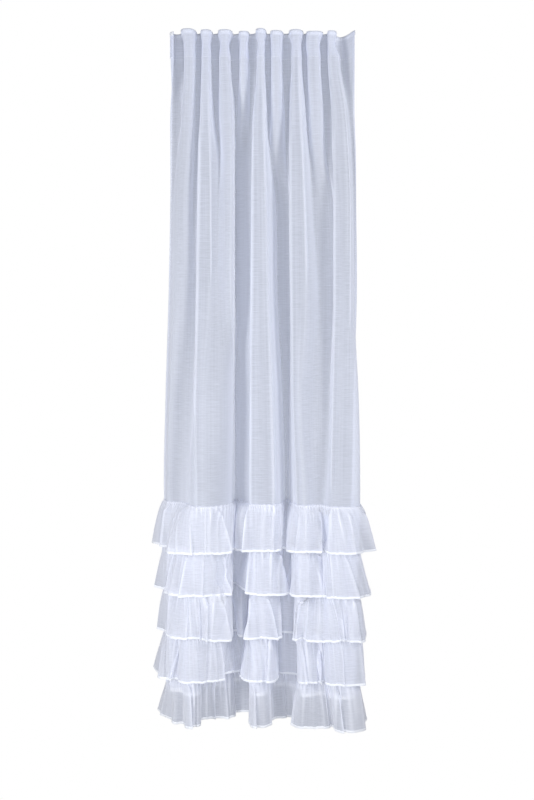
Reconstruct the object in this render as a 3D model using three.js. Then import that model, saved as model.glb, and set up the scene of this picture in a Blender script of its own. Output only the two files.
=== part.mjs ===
// A sheer ready-made curtain, hung gathered. One plain voile panel, a heading band
// sewn to its back, and five gathered ruffles one above the other on its lower part.
// Millimetres, +Z up. The origin is on the top edge, over the hanging line, halfway
// across. The front faces -Y.

import * as THREE from 'three';

// Cloth
const CLOTH_WIDTH = 1400;
const PANEL_DROP = 2339;
const PANEL_THICKNESS = 1.4;
const BAND_THICKNESS = 1.2;
const RUFFLE_THICKNESS = 1.2;
const SEWN_GAP = 0.3;

// Heading
const HEADING_DROP = 98;
const BAND_TOP_DROP = 4;
const LOBE_REACH = 45;
const RECESS_DIP = 7;

// Ruffles
const TIER_COUNT = 5;
const FIRST_SEAM_DROP = 1675;
const TIER_PITCH = 151.5;
const RUFFLE_DROP = 156;
const HEADER_HEIGHT = 5;
const HEADER_LEAN = 1.2;

// Mesh steps
const COLUMNS = 100;
const PATH_STEP = 2;
const ARCH_STEPS = 24;
const EASE_PASSES = 2;
const SHARPEST_MITRE = 0.5;

const PANEL_LOOK = { color: 0xd6dcec, roughness: 0.9, metalness: 0 };
const BAND_LOOK = { color: 0xcfd6e8, roughness: 0.9, metalness: 0 };
const RUFFLE_LOOK = { color: 0xe3e8f4, roughness: 0.9, metalness: 0 };

// A row of each fold table is one fold that stands forward. at is its crest's place
// along the cloth width; left, crest and right are x; start, front and end are the y
// of its left side, its crest and its right side.
const FOLD_NAMES = ['at', 'left', 'crest', 'right', 'start', 'front', 'end'];
const HEADING_SECTION = {
  round: 0.7,
  ease: 14,
  lead: [[-304, -44], [-321, -29], [-322, -8], [-312, 0]],
  folds: [
    [140, -287, -263, -240, 0, -52, 0],
    [280, -217, -200, -184, 0, -50, 0],
    [420, -156, -137, -118, 0, -51, 0],
    [560, -84, -68, -52, 0, -50, 0],
    [700, -22, -8, 7, 0, -53, 0],
    [840, 28, 45, 63, 0, -51, 0],
    [980, 101, 119, 137, 0, -51, 0],
    [1120, 155, 180, 205, 0, -50, 0],
    [1260, 226, 243, 262, 0, -50, -4],
  ],
  tail: [[290, -22], [320, -33]],
};

// Plan sections of the panel at each drop below the top edge. round is 1 for arches
// and less for squarer folds. ease is the length over which corners are eased.
const PANEL_SECTIONS = [
  { drop: 0, ...HEADING_SECTION },
  { drop: HEADING_DROP, ...HEADING_SECTION },
  {
    drop: 417, round: 0.8, ease: 20, lead: [[-316, -30], [-327, -6]], tail: [[306, -14], [322, -30]],
    folds: [
      [140, -300, -280, -258, 4, -50, 4],
      [280, -221, -202, -180, 2, -56, 2],
      [420, -146, -124, -103, 2, -60, 44],
      [700, -33, -14, 9, 44, -56, 38],
      [980, 96, 116, 141, 38, -56, 2],
      [1120, 172, 190, 208, 4, -44, 4],
      [1260, 249, 276, 301, 4, -56, -12],
    ],
  },
  {
    drop: 777, round: 0.85, ease: 26, lead: [[-326, 36], [-332, 16]], tail: [[310, 4], [323, -22]],
    folds: [
      [140, -322, -300, -278, 0, -44, 2],
      [280, -229, -206, -178, -2, -66, -22],
      [420, -152, -128, -100, -24, -74, 54],
      [700, -38, -14, 14, 54, -54, 48],
      [980, 96, 120, 152, 48, -64, 0],
      [1260, 250, 286, 312, 0, -76, -24],
    ],
  },
  {
    drop: 1307, round: 1, ease: 34, lead: [[-338, 66], [-346, 44]], tail: [[316, 18], [298, 34]],
    folds: [
      [110, -346, -312, -268, 44, -10, -6],
      [290, -254, -186, -107, -14, -96, 66],
      [700, -42, -4, 40, 66, -56, 52],
      [985, 106, 138, 184, 46, -74, -20],
      [1250, 232, 278, 332, -20, -98, 0],
    ],
  },
  {
    drop: FIRST_SEAM_DROP, round: 1, ease: 38, lead: [[-346, 84], [-356, 62]], tail: [[316, 34], [288, 40]],
    folds: [
      [90, -356, -326, -290, 62, 22, 10],
      [280, -280, -204, -112, 4, -100, 76],
      [700, -46, 0, 64, 74, -50, 46],
      [985, 112, 140, 186, 28, -76, -40],
      [1245, 214, 268, 339, -40, -106, 20],
    ],
  },
  {
    drop: 1978, round: 1, ease: 36, lead: [[-338, 80], [-346, 52]], tail: [[312, 30], [286, 36]],
    folds: [
      [90, -347, -318, -284, 54, 8, -6],
      [275, -274, -216, -116, -10, -88, 84],
      [700, -46, -4, 55, 82, -56, 48],
      [985, 118, 144, 184, 24, -76, -40],
      [1245, 214, 268, 335, -40, -106, 10],
    ],
  },
  {
    drop: PANEL_DROP, round: 0.9, ease: 30, lead: [[-322, 70], [-332, 40]], tail: [[308, 26], [284, 32]],
    folds: [
      [90, -332, -312, -288, 42, -20, -32],
      [215, -278, -248, -220, -36, -70, 4],
      [390, -194, -158, -114, 22, 34, 94],
      [690, -46, -8, 18, 90, -68, 14],
      [800, 34, 54, 72, 30, 40, 54],
      [985, 132, 152, 184, 6, -76, -56],
      [1250, 224, 272, 331, -54, -102, -10],
    ],
  },
];

// Plan paths of the five ruffle hems, with rise for how much higher a hem hangs where
// it turns back behind the fold.
const HEM_NAMES = [...FOLD_NAMES, 'rise'];
const RUFFLE_HEMS = [
  {
    round: 1, ease: 18, lead: [[-404, 84], [-369, 30], [-346, -8]],
    tail: [[395, -50], [386, 6], [346, 58]],
    folds: [
      [275, -342, -206, -105, -12, -134, 36, 0],
      [680, -95, -10, 70, 20, -76, 14, 0],
      [990, 79, 150, 207, 0, -102, -74, 0],
      [1225, 222, 268, 350, -78, -132, -88, 0],
    ],
  },
  {
    round: 0.9, ease: 18, lead: [[-392, 36], [-366, 17]],
    tail: [[378, -74], [380, -20], [342, 54]],
    folds: [
      [260, -340, -218, -162, -6, -110, -72, 0],
      [380, -152, -128, -106, -74, -84, 60, 14],
      [690, -46, 0, 84, -36, -86, 24, 0],
      [1000, 90, 160, 198, -8, -112, -86, 0],
      [1232, 208, 272, 352, -90, -136, -104, 0],
    ],
  },
  {
    round: 0.9, ease: 16, lead: [[-381, 34], [-352, 12]],
    tail: [[362, -50], [366, 0], [336, 52]],
    folds: [
      [185, -334, -270, -214, -8, -92, -98, 0],
      [322, -210, -176, -106, -102, -120, 34, 0],
      [525, -92, -74, -60, 40, 26, 40, 0],
      [660, -50, -26, -8, 10, -86, -76, 0],
      [735, -4, 34, 66, -76, -86, 6, 0],
      [955, 106, 120, 136, 6, -100, -90, 0],
      [1130, 142, 220, 276, -92, -130, -116, 0],
      [1290, 284, 320, 356, -118, -130, -96, 0],
    ],
  },
  {
    round: 0.9, ease: 16, lead: [[-400, 90], [-380, 30]],
    tail: [[358, -50], [362, 0], [334, 48]],
    folds: [
      [100, -366, -330, -302, 10, -56, -60, 0],
      [215, -296, -247, -136, -68, -98, -14, 10],
      [690, -76, 4, 54, 60, -84, 28, 0],
      [985, 124, 158, 208, -6, -100, -82, 0],
      [1250, 214, 284, 352, -86, -126, -96, 0],
    ],
  },
  {
    round: 0.9, ease: 16, lead: [[-383, 84], [-362, 30], [-342, -4]],
    tail: [[369, -16], [366, 20], [330, 50]],
    folds: [
      [125, -322, -296, -276, -24, -66, -72, 0],
      [210, -272, -247, -216, -84, -98, -30, 0],
      [390, -188, -144, -96, -2, 14, 44, 12],
      [690, -50, -6, 26, 50, -98, -24, 0],
      [790, 34, 60, 84, -6, 4, 26, 0],
      [1030, 104, 180, 238, 0, -110, -98, 0],
      [1258, 244, 285, 350, -106, -142, -80, 0],
    ],
  },
];

// How far a ruffle has swung out at each share of its drop
const FLARE_STEPS = [
  { share: 0.2, flare: 0.32 },
  { share: 0.55, flare: 0.7 },
  { share: 1, flare: 1 },
];

function named(names, row) {
  return Object.fromEntries(names.map((name, i) => [name, row[i]]));
}

function lerp(a, b, t) {
  return a + (b - a) * t;
}

function unit(x, y) {
  const length = Math.hypot(x, y) || 1;
  return [x / length, y / length];
}

// One fold as an arch from its left side over its crest to its right side
function foldArch(fold, round) {
  return Array.from({ length: ARCH_STEPS + 1 }, (_, i) => {
    const turn = (Math.PI * i) / ARCH_STEPS;
    const across = Math.abs(Math.cos(turn)) ** round;
    const side = i < ARCH_STEPS / 2 ? fold.left : fold.right;
    const base = lerp(fold.start, fold.end, i / ARCH_STEPS);
    return [lerp(fold.crest, side, across), lerp(base, fold.front, Math.sin(turn) ** round)];
  });
}

// A path in even steps, with the step number of each of its anchored points
function evenPath(points, anchors) {
  const lengths = [0];
  for (let i = 1; i < points.length; i += 1) {
    const step = Math.hypot(points[i][0] - points[i - 1][0], points[i][1] - points[i - 1][1]);
    lengths.push(lengths[i - 1] + step);
  }
  const total = lengths[lengths.length - 1];
  const count = Math.round(total / PATH_STEP);
  const path = [];
  let k = 0;
  for (let i = 0; i <= count; i += 1) {
    const wanted = (total * i) / count;
    while (k < points.length - 2 && lengths[k + 1] < wanted) {
      k += 1;
    }
    const t = (wanted - lengths[k]) / (lengths[k + 1] - lengths[k] || 1);
    path.push([lerp(points[k][0], points[k + 1][0], t), lerp(points[k][1], points[k + 1][1], t)]);
  }
  const marks = anchors.map((anchor) => ({
    at: anchor.at,
    step: (lengths[anchor.index] / total) * count,
  }));
  return { path, marks };
}

// Corners eased by a running mean that keeps the two ends
function eased(path, ease) {
  const reach = Math.round(ease / PATH_STEP / EASE_PASSES);
  let out = path;
  for (let pass = 0; pass < EASE_PASSES; pass += 1) {
    out = out.map((_, i) => {
      const half = Math.min(reach, i, out.length - 1 - i);
      const near = out.slice(i - half, i + half + 1);
      return [0, 1].map((axis) => near.reduce((sum, point) => sum + point[axis], 0) / near.length);
    });
  }
  return out;
}

// The plan path of a section, read at each place along the cloth width
function sectionPoints(section, places) {
  const points = [...section.lead];
  const anchors = [{ at: 0, index: 0 }];
  for (const row of section.folds) {
    const fold = named(FOLD_NAMES, row);
    anchors.push({ at: fold.at, index: points.length + ARCH_STEPS / 2 });
    points.push(...foldArch(fold, section.round));
  }
  points.push(...section.tail);
  anchors.push({ at: CLOTH_WIDTH, index: points.length - 1 });
  const { path, marks } = evenPath(points, anchors);
  const soft = eased(path, section.ease);
  return places.map((place) => {
    const k = Math.max(marks.findIndex((mark) => mark.at >= place), 1);
    const t = (place - marks[k - 1].at) / (marks[k].at - marks[k - 1].at);
    const step = lerp(marks[k - 1].step, marks[k].step, t);
    const low = Math.min(Math.floor(step), soft.length - 2);
    return [0, 1].map((axis) => lerp(soft[low][axis], soft[low + 1][axis], step - low));
  });
}

const PLACES = Array.from({ length: COLUMNS + 1 }, (_, i) => (CLOTH_WIDTH * i) / COLUMNS);
const KEY_ROWS = PANEL_SECTIONS.map((section) => sectionPoints(section, PLACES));
const KEY_DROPS = PANEL_SECTIONS.map((section) => section.drop);

// The panel's plan path at any drop, on a smooth curve through the key sections. The
// heading keeps its section down to its lower seam.
function panelRow(drop) {
  const last = KEY_DROPS.length - 1;
  let k = 0;
  while (k < last - 1 && KEY_DROPS[k + 1] < drop) {
    k += 1;
  }
  const span = KEY_DROPS[k + 1] - KEY_DROPS[k];
  const t = (drop - KEY_DROPS[k]) / span;
  const slope = (at, i, axis) => {
    if (at <= 1) {
      return 0;
    }
    const low = at - 1;
    const high = Math.min(at + 1, last);
    return (KEY_ROWS[high][i][axis] - KEY_ROWS[low][i][axis]) / (KEY_DROPS[high] - KEY_DROPS[low]);
  };
  return PLACES.map((_, i) => [0, 1].map((axis) => {
    const from = KEY_ROWS[k][i][axis];
    const to = KEY_ROWS[k + 1][i][axis];
    const ease = t * t * (3 - 2 * t);
    const leave = t * (1 - t) * (1 - t) * span * slope(k, i, axis);
    const arrive = t * t * (t - 1) * span * slope(k + 1, i, axis);
    return lerp(from, to, ease) + leave + arrive;
  }));
}

// A plan path moved to its front by an even distance, or to its back by a negative one
function offsetRow(row, offset) {
  return row.map((point, i) => {
    const before = row[Math.max(i - 1, 0)];
    const after = row[Math.min(i + 1, row.length - 1)];
    const into = unit(point[0] - before[0], point[1] - before[1]);
    const out = unit(after[0] - point[0], after[1] - point[1]);
    const first = i === 0 ? out : into;
    const second = i === row.length - 1 ? into : out;
    const mean = unit(first[0] + second[0], first[1] + second[1]);
    const mitre = Math.max(mean[0] * first[0] + mean[1] * first[1], SHARPEST_MITRE);
    return [point[0] + (mean[1] * offset) / mitre, point[1] - (mean[0] * offset) / mitre];
  });
}

function lifted(row, heights) {
  return row.map((point, i) => [point[0], point[1], heights[i]]);
}

// A closed sheet from rows of plan paths. Each row gives its front and back path and
// the height of each of its points.
function sheetMesh(name, rows, look) {
  const columnCount = rows[0].front.length;
  const frontPoints = rows.map((row) => lifted(row.front, row.heights));
  const backPoints = rows.map((row) => lifted(row.back, row.heights));
  const positions = [...frontPoints, ...backPoints].flat(2);
  const front = (r, c) => r * columnCount + c;
  const back = (r, c) => (rows.length + r) * columnCount + c;
  const lastRow = rows.length - 1;
  const lastColumn = columnCount - 1;
  const faces = [];
  const quad = (a, b, c, d) => faces.push(a, b, c, a, c, d);
  for (let r = 0; r < lastRow; r += 1) {
    for (let c = 0; c < lastColumn; c += 1) {
      quad(front(r, c), front(r + 1, c), front(r + 1, c + 1), front(r, c + 1));
      quad(back(r, c), back(r, c + 1), back(r + 1, c + 1), back(r + 1, c));
    }
    quad(front(r, 0), back(r, 0), back(r + 1, 0), front(r + 1, 0));
    quad(front(r, lastColumn), front(r + 1, lastColumn), back(r + 1, lastColumn), back(r, lastColumn));
  }
  for (let c = 0; c < lastColumn; c += 1) {
    quad(front(0, c), front(0, c + 1), back(0, c + 1), back(0, c));
    quad(front(lastRow, c), back(lastRow, c), back(lastRow, c + 1), front(lastRow, c + 1));
  }
  const geometry = new THREE.BufferGeometry();
  geometry.setAttribute('position', new THREE.Float32BufferAttribute(positions, 3));
  geometry.setIndex(faces);
  geometry.computeVertexNormals();
  const mesh = new THREE.Mesh(geometry, new THREE.MeshStandardMaterial(look));
  mesh.name = name;
  return mesh;
}

// How far the top edge dips at each column: fully in the recesses, not at the crests
const TOP_DIPS = KEY_ROWS[0].map((point) => {
  const forward = Math.min(Math.max(-point[1] / LOBE_REACH, 0), 1);
  return RECESS_DIP * (1 - forward);
});

const SEAM_DROPS = Array.from({ length: TIER_COUNT }, (_, tier) => FIRST_SEAM_DROP + TIER_PITCH * tier);
const BODY_DROPS = [180, 265, 350, 417, 600, 777, 1050, 1307, 1500];

function panelMesh() {
  const drops = [0, HEADING_DROP, ...BODY_DROPS, ...SEAM_DROPS, PANEL_DROP];
  const rows = drops.map((drop) => {
    const front = panelRow(drop);
    const heights = front.map((_, i) => (drop === 0 ? -TOP_DIPS[i] : -drop));
    return { front, back: offsetRow(front, -PANEL_THICKNESS), heights };
  });
  return sheetMesh('panel', rows, PANEL_LOOK);
}

// The band lies flat on the panel's back, from just below the top edge
function headingBandMesh() {
  const panelFront = panelRow(0);
  const front = offsetRow(panelFront, -PANEL_THICKNESS - SEWN_GAP);
  const back = offsetRow(panelFront, -PANEL_THICKNESS - SEWN_GAP - BAND_THICKNESS);
  const topHeights = front.map((_, i) => -TOP_DIPS[i] - BAND_TOP_DROP);
  const bottomHeights = front.map(() => -HEADING_DROP);
  return sheetMesh('heading_band', [
    { front, back, heights: topHeights },
    { front, back, heights: bottomHeights },
  ], BAND_LOOK);
}

// A ruffle hangs from its seam on the panel's front and swings out to its own hem path
function ruffleMesh(tier) {
  const seam = SEAM_DROPS[tier];
  const hem = RUFFLE_HEMS[tier];
  const hemRow = sectionPoints(hem, PLACES);
  const panelAtHem = panelRow(Math.min(seam + RUFFLE_DROP, PANEL_DROP));
  const swing = hemRow.map((point, i) => [point[0] - panelAtHem[i][0], point[1] - panelAtHem[i][1]]);
  const rises = risesAlong(hem);
  const row = (drop, offset, flare, rise) => {
    const panel = offsetRow(panelRow(Math.min(drop, PANEL_DROP)), offset);
    const front = panel.map((point, i) => [point[0] + swing[i][0] * flare, point[1] + swing[i][1] * flare]);
    const heights = front.map((_, i) => -drop + rises[i] * rise);
    return { front, back: offsetRow(front, -RUFFLE_THICKNESS), heights };
  };
  const sewn = SEWN_GAP + RUFFLE_THICKNESS;
  const rows = [
    row(seam - HEADER_HEIGHT, sewn + HEADER_LEAN, 0, 0),
    row(seam, sewn, 0, 0),
    ...FLARE_STEPS.map(({ share, flare }) => {
      return row(seam + RUFFLE_DROP * share, sewn * (1 - flare), flare, share);
    }),
  ];
  return sheetMesh(`ruffle_${tier + 1}`, rows, RUFFLE_LOOK);
}

// How much higher the hem hangs at each place, fullest halfway to the next fold
function risesAlong(hem) {
  const folds = hem.folds.map((row) => named(HEM_NAMES, row));
  return PLACES.map((place) => {
    const k = folds.findIndex((fold) => fold.at > place);
    if (k <= 0) {
      return 0;
    }
    const t = (place - folds[k - 1].at) / (folds[k].at - folds[k - 1].at);
    return folds[k - 1].rise * Math.sin(Math.PI * t) ** 2;
  });
}

const curtain = new THREE.Group();
curtain.add(panelMesh(), headingBandMesh());
for (let tier = 0; tier < TIER_COUNT; tier += 1) {
  curtain.add(ruffleMesh(tier));
}

export default curtain;
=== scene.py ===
"""The looks of a sheer ready-made curtain: a plain voile panel, a heading band on its
back and five gathered ruffles. Every sheet is a thin mesh of its own, on the main folds
of the solid that it replaces. Cloth is laid out in millimetres and made in metres."""

import math

import bpy
import numpy as np
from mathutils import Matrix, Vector


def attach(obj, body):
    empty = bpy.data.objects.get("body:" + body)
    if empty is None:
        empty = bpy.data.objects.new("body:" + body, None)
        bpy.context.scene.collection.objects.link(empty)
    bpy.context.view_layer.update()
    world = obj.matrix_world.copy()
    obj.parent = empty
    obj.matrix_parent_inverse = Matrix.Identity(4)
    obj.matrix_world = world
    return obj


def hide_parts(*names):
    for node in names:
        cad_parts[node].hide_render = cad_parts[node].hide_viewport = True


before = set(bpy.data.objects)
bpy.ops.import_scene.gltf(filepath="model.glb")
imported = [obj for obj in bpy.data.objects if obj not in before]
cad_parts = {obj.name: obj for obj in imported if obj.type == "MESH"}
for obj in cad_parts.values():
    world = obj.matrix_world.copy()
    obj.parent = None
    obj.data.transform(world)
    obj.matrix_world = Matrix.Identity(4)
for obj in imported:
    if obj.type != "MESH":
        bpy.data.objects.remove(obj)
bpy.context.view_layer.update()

MM = 0.001

# Cloth
CLOTH_WIDTH = 1400.0
PANEL_DROP = 2339.0
SIDE_HEM = 12.0
PANEL_HEM = 14.0
HEM_ROUND = 1.5
LAYER_GAP = 0.7

# Heading
HEADING_DROP = 98.0
WAIST_DROP = 46.0
BAND_TOP_DROP = 4.0
BAND_OFFSET = 1.6
BAND_INSET = 3.0
TOP_TURNING = 16.0

# Turned edges of the panel. Each row of the turned cloth has its way from the fold and
# how many layer gaps it lies behind the panel.
TOP_TURN = [(TOP_TURNING, 4.4), (TOP_TURNING / 2, 4.4), (2.0, 4.2), (0.4, 2.2)]
HEM_TURN = [(0.2, 0.5), (HEM_ROUND, 1), (PANEL_HEM / 2, 1), (PANEL_HEM, 1)]
SIDE_TURN = [(SIDE_HEM, 1), (SIDE_HEM / 2, 1), (HEM_ROUND, 1), (0.3, 0.5)]

# Ruffles
TIER_COUNT = 5
FIRST_SEAM_DROP = 1675.0
TIER_PITCH = 151.5
SEAM_DROPS = [FIRST_SEAM_DROP + TIER_PITCH * tier for tier in range(TIER_COUNT)]
RUFFLE_DROP = 156.0
RUFFLE_CUT = (1.8, 0.178)
RUFFLE_SEED = 40
SEWN_OFFSET = 1.5

# Low down, a ruffle stays this far in front of the panel, over the next one's header:
# from a share of its drop on, and fully after the span
NEXT_TIER_CLEARANCE = 9.0
NEXT_TIER_START = 0.55
NEXT_TIER_SPAN = 0.4

# A ruffle's header, its top edge turned in and crimped: height over the seam, way out
# from the panel, share of the crimp, and place on the flat cloth
HEADER_HEIGHT = 5.0
HEADER_NAMES = ("up", "out", "crimp", "flat")
HEADER_ROWS = [
    (-4, 0.5, 0, 9), (0, 0.5, 0, 7), (4, 0.8, 0.5, 5), (HEADER_HEIGHT, 1.6, 1, 4), (2, 1.6, 0.8, 2),
]
HEADER_CRIMP = 6.0
HEADER_SCALLOP = 3.5
# The header's threads lie this close between the crimp's crests; on the crests the gaps close fully, a
# painted highlight
HEADER_BUNCH = 0.2

# A ruffle's rolled hem: rows down its front, with their share of the bulge, and rows up
# its back, with their way behind the edge. The waves are lengths and heights.
HEM_HEIGHT = 7.0
HEM_BULGE = 0.9
HEM_FRONT = [(0.6, 0.6), (HEM_HEIGHT * 0.4, 1), (HEM_HEIGHT * 0.8, 0.9), (HEM_HEIGHT, 0.3)]
HEM_BACK = [(-0.5, 0.3), (-0.2, 1.2), (HEM_HEIGHT * 0.5, 1.5), (HEM_HEIGHT, 1.1)]
HEM_BACK_FLAT_STEP = 2
HEM_WAVES = [(70.0, 3.0), (26.0, 1.6)]

# Thread
STITCH_PITCH = 3.4
STITCH_LENGTH = 2.3
STITCH_TAPER = 0.12
STITCH_LIFT = 0.5
THREAD_RADIUS = 0.28
SIDE_STITCH_COLUMN = 8
SIDE_STITCH_INNER = 12
SIDE_STITCH_FIRST_ROW = 20

# Fold sides: a crisp side turns sharply and tucks in under its own edge. A side with a
# crispness below 0 slopes off instead.
TUCK = 4.0
SLOPE_ROUND = 1.9
CRISP_ROUND = 0.4
CRISP_EASE = 7.0

# Steps along the cloth
PATH_STEP = 1.0
ARCH_STEPS = 48
EASE_PASSES = 2
LEAST_EASE = 0.01
FINE_STEP = 0.5
FINE = np.arange(0, CLOTH_WIDTH + FINE_STEP / 2, FINE_STEP)
LAYER_JUMP_COST = 2

# Columns of a mesh, closer where the cloth turns
PANEL_COLUMNS = 660
RUFFLE_COLUMNS = 1150
COLUMN_SPACING = 3.0
COLUMNS_PER_TURN = 3.0
SHARPEST_TURN = 0.5
TURN_WINDOW = 13
ROW_BLEND = 4

# Rows of a mesh: even in the heading, then widening, then even down to the hem
HEADING_ROWS = 15
WIDENING_ROWS = 16
NARROWEST_ROW = 8
WIDEST_ROW = 21
BODY_ROWS = 97
BAND_ROWS = 13
RUFFLE_ROWS = 34
RUFFLE_ROW_POWER = 1.25

# Bunching: threads stand closer in the side hems and under the seams; the closing along fold edges is a
# painted highlight
EDGE_REACH = 7
EDGE_HIGHLIGHT = 0.95
EDGE_HIGHLIGHT_PER_TURN = 6.0
SIDE_HEM_BUNCH = 0.1
RUFFLE_EDGE_SHARE = 0.6
SEAM_BUNCH = 0.25
SEAM_BUNCH_REACH = 9.0

# Uneven waves: knots every so many lengths, each with a drift and a height of its own
WAVE_KNOTS = 1.5
WAVE_DRIFT = 0.35
LOWEST_WAVE = 0.2

# Gathers below a ruffle's seam: uneven ridges that widen and soften on their way down.
# start and fade are how far down the ruffle they rise and die away. The crimp of the
# header is the ridges of one of the rows, which begin a little above the seam.
# The last column closes the gaps along the ridges' crests, a painted highlight on them
GATHER_NAMES = ("length", "height", "sharp", "start", "fade", "crest_highlight")
GATHERS = [
    (8.0, 3.0, 1.6, 3.0, 16.0, 0.3),
    (19.0, 10.0, 2.0, 6.0, 34.0, 1.0),
    (34.0, 9.0, 3.0, 22.0, 110.0, 0.7),
    (75.0, 8.0, 2.4, 50.0, 400.0, 0.35),
]
CRIMP_ROW = 1
CRIMP_AHEAD = 4.0
SHORTEST_FADE = 0.35
FADE_SWELL = 1.4
FADE_LENGTHS = 3.1

# Voile's uneven threads, as noise drawn out along them: repeats a metre across and down
STREAK_NAMES = ("across", "down", "seed", "weight")
STREAKS = [(20, 310, 3.1, 1.0), (60, 700, 5.7, 0.6), (170, 2.5, 8.3, 0.55), (6, 5, 1.9, 0.4)]
THREAD_SPACING = 0.9
THREAD_BUMP = 0.1
STEEPEST_SLANT = 0.1
# How far the gaps close under closer threads and painted highlights
BUNCHING_AND_HIGHLIGHT_CLOSES = 0.9

# Studio, in metres. BEHIND is the colour that shows through the cloth, darker than the
# white beside it.
CAMERA_PLACE = (0.014, -3.870, -1.0588)
CAMERA_LENS = 48.99
CAMERA_SHIFT = -0.0875
WHITE = (1, 1, 1)
BEHIND = (0.25, 0.275, 0.35)
SKY_STRENGTH = 0.26
SKY_TINT = (0.95, 0.98, 1.05)
LIGHT_NAMES = ("name", "place", "aim", "size", "power")
LIGHTS = [
    ("key", (-2.5, -2.4, -1.5), (0, 0, -1.7), (1.0, 1.8), 80),
    ("fill", (2.6, -2.3, 0.0), (0, 0, -0.5), (1.0, 2.0), 74),
    ("front", (0.2, -4.2, -0.9), (0, 0, -1.3), (1.6, 1.6), 50),
    ("low front", (0, -2.6, -1.9), (0, 0, -1.8), (1.4, 0.5), 15),
]

# Fold tables on the solids' folds. at is the crest's place along the cloth width; left,
# crest and right are x; start, front and end are y at its left side, crest and right;
# the last two say how crisp its sides are, from -1 to 1.
FOLD_NAMES = (
    "at", "left", "crest", "right", "start", "front", "end", "crisp_left", "crisp_right",
)
HEADING_TOPS = [
    (141, -292, -264, -234, 0, -52, 4, 0.3, 0.1),
    (280, -222, -201, -178, -4, -50, 4, 0.3, 0.1),
    (421, -160, -133, -106, -4, -51, 4, 0.3, 0.1),
    (561, -86, -68, -48, -8, -48, 0, 0.4, 0.2),
    (701, -27, -8, 13, -8, -55, -2, 0.3, 0.1),
    (841, 25, 46, 72, -6, -51, -4, 0.4, 0.0),
    (982, 90, 116, 144, -6, -52, 4, 0.3, 0.1),
    (1122, 152, 180, 214, -6, -48, 4, 0.5, 0.3),
    (1256, 226, 240, 262, -2, -50, -4, 0.5, 0.4),
]
HEADING_WAISTS = [
    (143, -282, -256, -239, 0, -48, 6, 0.8, 0.3),
    (282, -217, -199, -185, -4, -46, 6, 0.8, 0.3),
    (424, -152, -131, -119, -4, -47, 8, 0.7, 0.3),
    (562, -84, -68, -53, 0, -42, 2, 0.7, 0.2),
    (703, -20, -5, 7, -6, -48, 0, 0.8, 0.3),
    (842, 27, 46, 68, -4, -46, -2, 0.7, 0.0),
    (984, 100, 120, 136, -4, -48, 8, 0.8, 0.3),
    (1124, 150, 180, 202, -6, -46, 8, 0.8, 0.3),
    (1256, 228, 238, 256, -2, -48, -4, 0.7, 0.4),
]
HEADING_SEAMS = [
    (143, -280, -256, -239, 0, -50, 6, 0.7, 0.4),
    (282, -218, -198, -183, -4, -50, 6, 1.0, 0.4),
    (424, -156, -132, -114, -4, -51, 12, 0.7, 0.4),
    (562, -84, -70, -50, -4, -38, 2, 0.7, -0.3),
    (703, -23, -5, 7, -2, -54, 4, 1.0, 0.5),
    (842, 28, 47, 67, -2, -46, 0, 0.8, 0.0),
    (984, 99, 122, 138, -2, -52, 8, 1.0, 0.4),
    (1124, 155, 182, 205, -6, -48, 8, 0.7, 0.3),
    (1260, 227, 250, 270, 0, -52, -18, 1.0, 0.2),
]

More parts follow.
